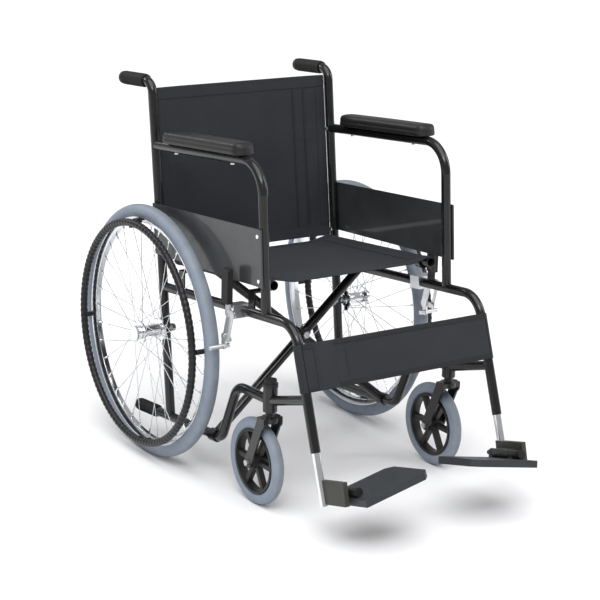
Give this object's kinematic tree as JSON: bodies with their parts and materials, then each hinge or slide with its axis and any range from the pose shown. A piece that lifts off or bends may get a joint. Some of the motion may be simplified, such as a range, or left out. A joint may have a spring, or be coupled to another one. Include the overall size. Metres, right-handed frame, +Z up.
{
  "type": "folding manual wheelchair",
  "caption": "Folding wheelchair with two tube side frames joined by a cross brace, large spoked drive wheels with hand rims, front casters, sliding footrests, brakes and a fabric seat and back.",
  "frame": {"origin": "on the floor, at the middle of the chair in width and length", "axes": "+Z up, -Y the way the chair faces, +X to its left-hand side"},
  "size_m": [0.686, 1.1084, 0.896],
  "materials": {
    "frame": "gloss",
    "grip": "matte",
    "pad": "satin",
    "panel": "gloss",
    "screw": "polished",
    "tyre": "matte",
    "rim": "polished",
    "spokes": "polished",
    "hub": "polished",
    "hand_rim": "satin",
    "fork": "gloss",
    "plastic": "satin",
    "foot_tube": "polished",
    "footplate": "satin",
    "brake": "satin",
    "steel": "satin",
    "fabric": "matte"
  },
  "bodies": {
    "right_side": {"side_frame_right": "frame", "grips_right": "grip", "arm_pad_right": "pad", "side_panel_right": "panel", "frame_screws_right": "screw", "axle_right": "steel", "caster_bearings_right": "steel", "stem_cap_right": "plastic", "brake_bracket_right": "brake", "back_sling": "fabric", "calf_strap": "fabric"},
    "left_side": {"side_frame_left": "frame", "grips_left": "grip", "arm_pad_left": "pad", "side_panel_left": "panel", "frame_screws_left": "screw", "axle_left": "steel", "caster_bearings_left": "steel", "stem_cap_left": "plastic", "brake_bracket_left": "brake"},
    "brace_front": {"brace_front": "frame", "brace_bolt": "steel", "seat_sling": "fabric"},
    "brace_rear": {"brace_rear": "frame"},
    "right_wheel": {"tyre_right": "tyre", "rim_right": "rim", "spokes_right": "spokes", "hub_right": "hub", "hand_rim_right": "hand_rim", "hand_rim_brackets_right": "hand_rim"},
    "right_caster": {"caster_fork_right": "fork", "caster_axle_right": "steel"},
    "right_caster_wheel": {"caster_tyre_right": "tyre", "caster_wheel_right": "plastic"},
    "right_footrest": {"footrest_tube_right": "foot_tube", "footplate_clamp_right": "footplate", "footplate_pin_right": "plastic"},
    "right_footplate": {"footplate_right": "footplate"},
    "right_brake_lever": {"brake_lever_right": "brake", "brake_grip_right": "grip"},
    "right_brake_link": {"brake_link_right": "brake"},
    "right_brake_shoe": {"brake_shoe_right": "brake"},
    "left_wheel": {"tyre_left": "tyre", "rim_left": "rim", "spokes_left": "spokes", "hub_left": "hub", "hand_rim_left": "hand_rim", "hand_rim_brackets_left": "hand_rim"},
    "left_caster": {"caster_fork_left": "fork", "caster_axle_left": "steel"},
    "left_caster_wheel": {"caster_tyre_left": "tyre", "caster_wheel_left": "plastic"},
    "left_footrest": {"footrest_tube_left": "foot_tube", "footplate_clamp_left": "footplate", "footplate_pin_left": "plastic"},
    "left_footplate": {"footplate_left": "footplate"},
    "left_brake_lever": {"brake_lever_left": "brake", "brake_grip_left": "grip"},
    "left_brake_link": {"brake_link_left": "brake"},
    "left_brake_shoe": {"brake_shoe_left": "brake"}
  },
  "joints": [
    {"name": "fold", "type": "hinge", "parent": "right_side", "child": "brace_front", "pos_m": [-0.249, 0.0354, 0.10281], "axis": [0, -0.9962, 0.0872], "range_deg": [0, 40.3], "deforming": ["seat_sling", "back_sling", "calf_strap"]},
    {"name": "brace_cross", "type": "hinge", "parent": "brace_front", "child": "brace_rear", "pos_m": [0, 0.05318, 0.30608], "axis": [0, -0.9962, 0.0872], "range_deg": [-80.6, 0]},
    {"name": "left_side_hinge", "type": "hinge", "parent": "brace_rear", "child": "left_side", "pos_m": [0.249, 0.0354, 0.10281], "axis": [0, -0.9962, 0.0872], "range_deg": [0, 40.3]},
    {"name": "right_wheel_spin", "type": "hinge", "parent": "right_side", "child": "right_wheel", "pos_m": [-0.295, 0.2504, 0.3025], "axis": [1, 0, 0], "continuous": true},
    {"name": "right_caster_swivel", "type": "hinge", "parent": "right_side", "child": "right_caster", "pos_m": [-0.249, -0.2066, 0.25], "axis": [0, 0, 1], "continuous": true},
    {"name": "right_caster_spin", "type": "hinge", "parent": "right_caster", "child": "right_caster_wheel", "pos_m": [-0.249, -0.1576, 0.1], "axis": [1, 0, 0], "continuous": true},
    {"name": "right_footrest_slide", "type": "slide", "parent": "right_side", "child": "right_footrest", "axis": [0, -0.3289, -0.9444], "range_m": [-0.035, 0.03]},
    {"name": "right_footplate_flip", "type": "hinge", "parent": "right_footrest", "child": "right_footplate", "pos_m": [-0.222, -0.4476, 0.1235], "axis": [0, -0.9659, 0.2588], "range_deg": [0, 80]},
    {"name": "right_brake", "type": "hinge", "parent": "right_side", "child": "right_brake_lever", "pos_m": [-0.282, -0.0796, 0.43], "axis": [1, 0, 0], "range_deg": [0, 25]},
    {"name": "right_brake_link_pivot", "type": "hinge", "parent": "right_brake_lever", "child": "right_brake_link", "pos_m": [-0.286, -0.1036, 0.43], "axis": [1, 0, 0], "range_deg": [-25, 0]},
    {"name": "right_brake_shoe_pivot", "type": "hinge", "parent": "right_side", "child": "right_brake_shoe", "pos_m": [-0.282, -0.0636, 0.37], "axis": [1, 0, 0], "range_deg": [0, 25]},
    {"name": "left_wheel_spin", "type": "hinge", "parent": "left_side", "child": "left_wheel", "pos_m": [0.295, 0.2504, 0.3025], "axis": [1, 0, 0], "continuous": true},
    {"name": "left_caster_swivel", "type": "hinge", "parent": "left_side", "child": "left_caster", "pos_m": [0.249, -0.2066, 0.25], "axis": [0, 0, 1], "continuous": true},
    {"name": "left_caster_spin", "type": "hinge", "parent": "left_caster", "child": "left_caster_wheel", "pos_m": [0.249, -0.1576, 0.1], "axis": [1, 0, 0], "continuous": true},
    {"name": "left_footrest_slide", "type": "slide", "parent": "left_side", "child": "left_footrest", "axis": [0, -0.3289, -0.9444], "range_m": [-0.035, 0.03]},
    {"name": "left_footplate_flip", "type": "hinge", "parent": "left_footrest", "child": "left_footplate", "pos_m": [0.222, -0.4476, 0.1235], "axis": [0, 0.9659, -0.2588], "range_deg": [0, 80]},
    {"name": "left_brake", "type": "hinge", "parent": "left_side", "child": "left_brake_lever", "pos_m": [0.282, -0.0796, 0.43], "axis": [1, 0, 0], "range_deg": [0, 25]},
    {"name": "left_brake_link_pivot", "type": "hinge", "parent": "left_brake_lever", "child": "left_brake_link", "pos_m": [0.286, -0.1036, 0.43], "axis": [1, 0, 0], "range_deg": [-25, 0]},
    {"name": "left_brake_shoe_pivot", "type": "hinge", "parent": "left_side", "child": "left_brake_shoe", "pos_m": [0.282, -0.0636, 0.37], "axis": [1, 0, 0], "range_deg": [0, 25]}
  ],
  "couplings": [
    {"joint": "brace_cross", "follows": "fold", "ratio": -2},
    {"joint": "left_side_hinge", "follows": "fold", "ratio": 1},
    {"joint": "right_footplate_flip", "follows": "fold", "ratio": 1.9841},
    {"joint": "right_brake_link_pivot", "follows": "right_brake", "ratio": -1},
    {"joint": "right_brake_shoe_pivot", "follows": "right_brake", "ratio": 1},
    {"joint": "left_footplate_flip", "follows": "fold", "ratio": 1.9841},
    {"joint": "left_brake_link_pivot", "follows": "left_brake", "ratio": -1},
    {"joint": "left_brake_shoe_pivot", "follows": "left_brake", "ratio": 1}
  ]
}
